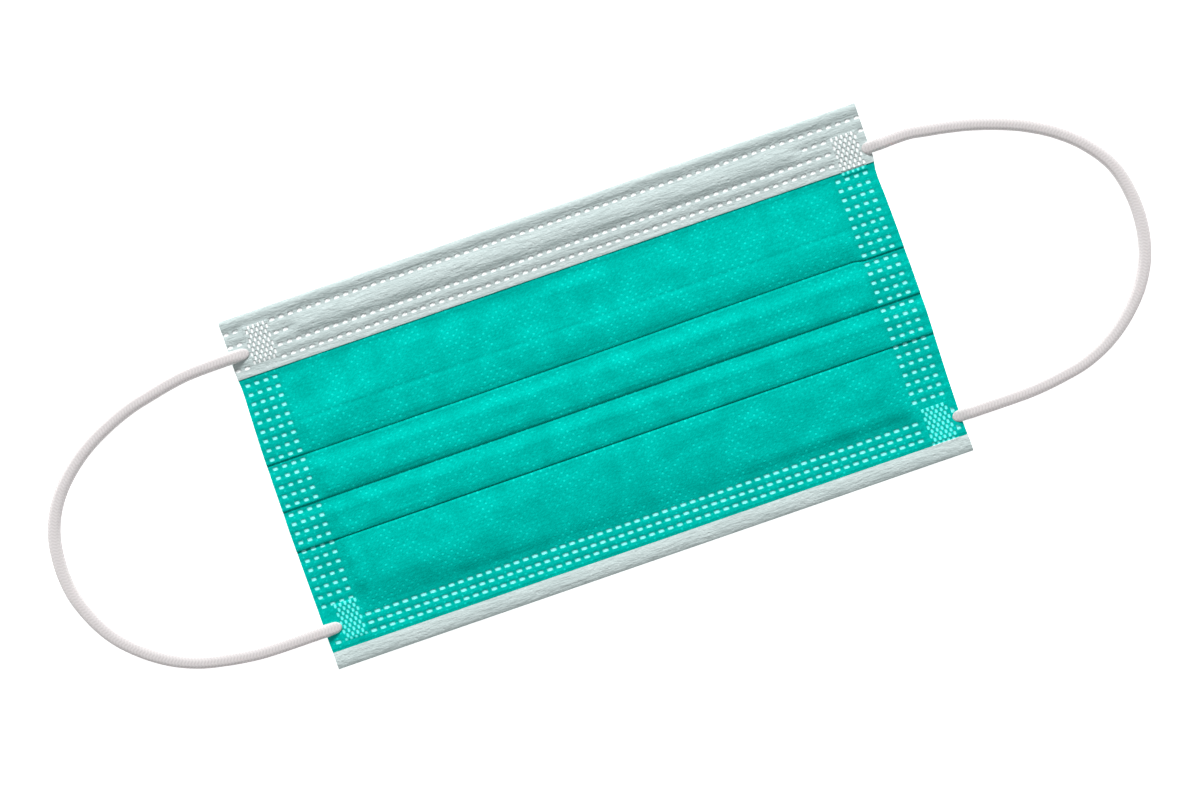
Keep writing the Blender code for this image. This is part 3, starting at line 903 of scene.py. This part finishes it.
class Nodes:
    """Short calls for building a material's node tree."""

    def __init__(self, name):
        self.material = bpy.data.materials.new(name)
        self.material.use_nodes = True
        self.tree = self.material.node_tree
        self.shader = self.tree.nodes["Principled BSDF"]

    def add(self, kind, **settings):
        """A node with its settings."""
        node = self.tree.nodes.new(kind)
        for key, value in settings.items():
            setattr(node, key, value)
        return node

    def link(self, source, target):
        """Joins two sockets, or sets the target to a plain value."""
        if isinstance(source, bpy.types.NodeSocket):
            self.tree.links.new(source, target)
        else:
            target.default_value = source

    def look(self, colour, roughness, specular=0.5):
        """Sets the shader's colour, roughness and specular level."""
        self.link(colour, self.shader.inputs["Base Color"])
        self.link(roughness, self.shader.inputs["Roughness"])
        self.shader.inputs["Specular IOR Level"].default_value = specular

    def math(self, operation, first, second=0.0, third=0.0, clamp=False):
        """One arithmetic step."""
        node = self.add("ShaderNodeMath", operation=operation, use_clamp=clamp)
        for socket, value in zip(node.inputs, (first, second, third)):
            self.link(value, socket)
        return node.outputs[0]

    def vector(self, operation, first, second=(0, 0, 0)):
        """One vector step."""
        node = self.add("ShaderNodeVectorMath", operation=operation)
        self.link(first, node.inputs[0])
        if operation not in ("FRACTION", "LENGTH"):
            self.link(second, node.inputs[1])
        return node.outputs["Value" if operation == "LENGTH" else "Vector"]

    def ramp(self, value, low, high, to_low=0.0, to_high=1.0):
        """Maps a value smoothly from one range to another."""
        node = self.add("ShaderNodeMapRange", interpolation_type="SMOOTHSTEP")
        for socket, number in zip(node.inputs, (value, low, high, to_low, to_high)):
            self.link(number, socket)
        return node.outputs[0]

    def mix(self, share, first, second):
        """A colour between two colours."""
        node = self.add("ShaderNodeMix", data_type="RGBA")
        self.link(share, node.inputs["Factor"])
        self.link(first, node.inputs[6])
        self.link(second, node.inputs[7])
        return node.outputs[2]

    def vertex_value(self, name, socket="Fac"):
        """A value that the mesh keeps for each vertex."""
        return self.add("ShaderNodeAttribute", attribute_name=name).outputs[socket]

    def bump(self, height, strength, distance):
        """Small relief on the shader's surface."""
        node = self.add("ShaderNodeBump")
        node.inputs["Strength"].default_value = strength
        node.inputs["Distance"].default_value = distance
        self.link(height, node.inputs["Height"])
        self.link(node.outputs[0], self.shader.inputs["Normal"])

    def noise(self, place, scale, detail=2.0, roughness=0.5):
        """Noise from 0 to 1 at a place."""
        inputs = {"Vector": place, "Scale": scale, "Detail": detail, "Roughness": roughness}
        node = self.add("ShaderNodeTexNoise")
        for socket, value in inputs.items():
            self.link(value, node.inputs[socket])
        return node.outputs[0]


def bond_points(nodes, flat):
    """1 on the small bonded points of the nonwoven, which stand in a staggered grid."""
    cell = (2.48 * MM, 2.18 * MM, 1.0)
    scaled = nodes.vector("DIVIDE", flat, cell)
    distances = []
    for shift in ((0, 0, 0), (0.5, 0.5, 0)):
        moved = nodes.vector("ADD", scaled, (shift[0] + 40, shift[1] + 40, 0))
        part = nodes.vector("SUBTRACT", nodes.vector("FRACTION", moved), (0.5, 0.5, 0))
        distances.append(nodes.vector("LENGTH", nodes.vector("MULTIPLY", part, cell)))
    nearest = nodes.math("MINIMUM", distances[0], distances[1])
    return nodes.ramp(nearest, 0.14 * MM, 0.42 * MM, 1.0, 0.0)


def nonwoven(name, thin, thick, point, weld, grain):
    """Spunbond cloth: bonded points, fine random fibres, cloudy density, weld marks and painted
    shade round the marks.
    """
    nodes = Nodes(name)
    flat = nodes.vertex_value("flat_place", "Vector")
    weld_share = nodes.vertex_value("weld")
    painted_mark_shade = nodes.vertex_value("painted_mark_shade")
    cloud = nodes.noise(flat, 150, 4.0, 0.6)
    patchy = nodes.ramp(cloud, 0.42, 0.64, 0.12, 1.0)
    bonded = nodes.math("MULTIPLY", bond_points(nodes, flat), patchy)
    turned = nodes.add("ShaderNodeVectorRotate", rotation_type="Z_AXIS")
    nodes.link(flat, turned.inputs["Vector"])
    turned.inputs["Angle"].default_value = math.radians(35)
    streaks = nodes.vector("MULTIPLY", turned.outputs[0], (1.0, 2.4, 1.0))
    fibre = nodes.noise(streaks, 1100, 4.0, 0.7)
    density = nodes.math("MULTIPLY_ADD", fibre, 0.6, nodes.math("MULTIPLY", cloud, 0.4))
    colour = nodes.mix(nodes.ramp(density, 0.36, 0.64), (*thin, 1), (*thick, 1))
    colour = nodes.mix(nodes.math("MULTIPLY", bonded, 0.60), colour, (*point, 1))
    # Painted shade: the cloth round each weld mark is darkened to stand in for the shadow of its
    # dent.
    shade = [channel * 0.72 for channel in thin]
    colour = nodes.mix(nodes.math("MULTIPLY", painted_mark_shade, 0.5), colour, (*shade, 1))
    colour = nodes.mix(weld_share, colour, (*weld, 1))
    nodes.look(colour, nodes.ramp(weld_share, 0.0, 1.0, 0.9, 0.55), 0.0)
    rows = nodes.noise(nodes.vector("MULTIPLY", flat, (0.45, 1.6, 1.0)), 700, 3.0, 0.6)
    height = nodes.math("MULTIPLY_ADD", rows, grain, nodes.math("MULTIPLY_ADD", bonded, -0.8, fibre))
    height = nodes.math("MULTIPLY", height, nodes.math("SUBTRACT", 1.0, weld_share))
    nodes.bump(height, 1.0, 0.09 * MM)
    return nodes.material


def knitted_elastic():
    """White elastic yarn with soft fuzz, and painted shade that darkens the gaps between its
    stitches.
    """
    nodes = Nodes("knitted_elastic")
    flat = nodes.vertex_value("flat_place", "Vector")
    stitch = nodes.vertex_value("stitch")
    yarn = nodes.noise(nodes.vector("MULTIPLY", flat, (3.0, 1.0, 1.0)), 2600, 4.0, 0.6)
    # Painted shade: the colour follows the stitches' relief, darker in the gaps between them, with
    # random yarn tone mixed in.
    tone = nodes.math("MULTIPLY_ADD", stitch, 0.6, nodes.math("MULTIPLY", yarn, 0.4))
    colour = nodes.mix(nodes.ramp(tone, 0.1, 0.8), (0.62, 0.59, 0.59, 1), (0.74, 0.71, 0.71, 1))
    nodes.look(colour, 0.9, 0.1)
    nodes.shader.inputs["Subsurface Weight"].default_value = 0.7
    nodes.shader.inputs["Subsurface Radius"].default_value = (1.0, 1.0, 1.0)
    nodes.shader.inputs["Subsurface Scale"].default_value = 1.2 * MM
    nodes.bump(yarn, 0.7, 0.08 * MM)
    return nodes.material


def coated_wire():
    """White plastic coating with faint drawing marks along the wire."""
    nodes = Nodes("coated_wire")
    flat = nodes.add("ShaderNodeTexCoord").outputs["Object"]
    marks = nodes.noise(nodes.vector("MULTIPLY", flat, (0.05, 1.0, 1.0)), 4000, 2.0)
    colour = nodes.mix(marks, (0.70, 0.71, 0.71, 1), (0.82, 0.83, 0.83, 1))
    nodes.look(colour, 0.4)
    return nodes.material


def nose_strip(material):
    """The flat coated wire in the top hem's tunnel, with a rib over each of its two cores."""
    low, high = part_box("nose_wire")
    columns = np.linspace(low.x, high.x, 120)
    angles = np.linspace(0, 2 * math.pi, 32, endpoint=False)
    half_wide = (high.y - low.y) / 2
    half_high = 0.25 * MM
    middle_z = LAMINATE + PLY_GAP + half_high
    from_end = np.minimum(columns - low.x, high.x - columns)
    narrow = np.sqrt(np.maximum(0.05, 1 - (1 - np.minimum(from_end / (1.1 * MM), 1)) ** 2))
    across = rounded(np.cos(angles), 0.35)
    rib = 0.75 + 0.25 * np.abs(np.sin(math.pi * across))
    x = np.repeat(columns, len(angles))
    y = (low.y + high.y) / 2 + np.outer(narrow, across * half_wide).ravel()
    z = np.tile(middle_z + rounded(np.sin(angles), 0.6) * half_high * rib, len(columns))
    vertices = np.column_stack([x, y, z])
    index = np.arange(len(vertices)).reshape(len(columns), len(angles))
    piece = mesh_piece("nose_strip", vertices, tube_faces(index), material, {}, vertices)
    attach(piece, "root")
    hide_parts("nose_wire")


def studio_floor():
    """A plain pale surface under the mask."""
    bpy.ops.mesh.primitive_plane_add(size=6, location=(0, 0, -0.05 * MM))
    floor = bpy.context.object
    floor.name = "studio_floor"
    nodes = Nodes("studio_floor")
    nodes.look((0.9, 0.9, 0.9, 1), 1.0, 0.0)
    nodes.shader.inputs["Emission Color"].default_value = (1, 1, 1, 1)
    nodes.shader.inputs["Emission Strength"].default_value = 0.75
    floor.data.materials.append(nodes.material)


PICTURE_TURN = math.radians(-19.05)  # the mask lies turned in the picture by this angle
PICTURE_WIDTH = 0.3117  # what the picture shows from side to side
PICTURE_MIDDLE_Y = -0.0037
LIGHT_TURN = math.radians(-8)  # turns the key light from straight over the nose edge to the right
LIGHT_ELEVATION = math.radians(35)


def light_and_view():
    """One soft key light from just left of the picture's top, even fill, and the camera."""
    scene = bpy.context.scene
    world = bpy.data.worlds.new("studio")
    world.use_nodes = True
    fill = world.node_tree.nodes["Background"].inputs
    fill["Color"].default_value = (1, 1, 1, 1)
    fill["Strength"].default_value = 0.38
    scene.world = world
    key = bpy.data.lights.new("key_light", "SUN")
    key.energy = 3.7
    key.angle = math.radians(18)
    lamp = bpy.data.objects.new("key_light", key)
    towards = Vector((-math.sin(LIGHT_TURN), math.cos(LIGHT_TURN), math.tan(LIGHT_ELEVATION)))
    lamp.rotation_euler = towards.to_track_quat("Z", "Y").to_euler()
    scene.collection.objects.link(lamp)
    camera = bpy.data.cameras.new("camera")
    camera.lens = 100
    camera.sensor_width = 36
    camera.clip_start = 0.01
    view = bpy.data.objects.new("camera", camera)
    distance = PICTURE_WIDTH * camera.lens / camera.sensor_width
    view.location = (0, PICTURE_MIDDLE_Y, distance + 1 * MM)
    view.rotation_euler = (0, 0, PICTURE_TURN)
    scene.collection.objects.link(view)
    scene.camera = view
    scene.view_settings.view_transform = "Standard"


def build():
    greens = {"thick": (0.0, 0.56, 0.475), "point": (0.01, 0.84, 0.74), "grain": 1.2}
    green = nonwoven("green_nonwoven", thin=(0.0, 0.40, 0.335), weld=(0.31, 1.0, 0.98), **greens)
    green_film = nonwoven("green_film", thin=(0.0, 0.42, 0.355), weld=(0.15, 1.0, 0.93), **greens)
    white = nonwoven(
        "white_nonwoven", thin=(0.49, 0.58, 0.575), thick=(0.575, 0.665, 0.66),
        point=(0.62, 0.71, 0.705), weld=(0.95, 0.99, 0.99), grain=4.0,
    )
    elastic = knitted_elastic()
    outer, outer_length = outer_ply(green)
    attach(outer, "root")
    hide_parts("face_panel")
    inner, inner_length = inner_ply(white)
    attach(inner, "root")
    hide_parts("top_hem", "bottom_hem")
    nose_strip(coated_wire())
    for corner in PATCHES:
        fused_end(corner, (white, green_film))
    for hand, loop in LOOPS.items():
        knitted_loop(hand, elastic, **loop)


build()
studio_floor()
light_and_view()
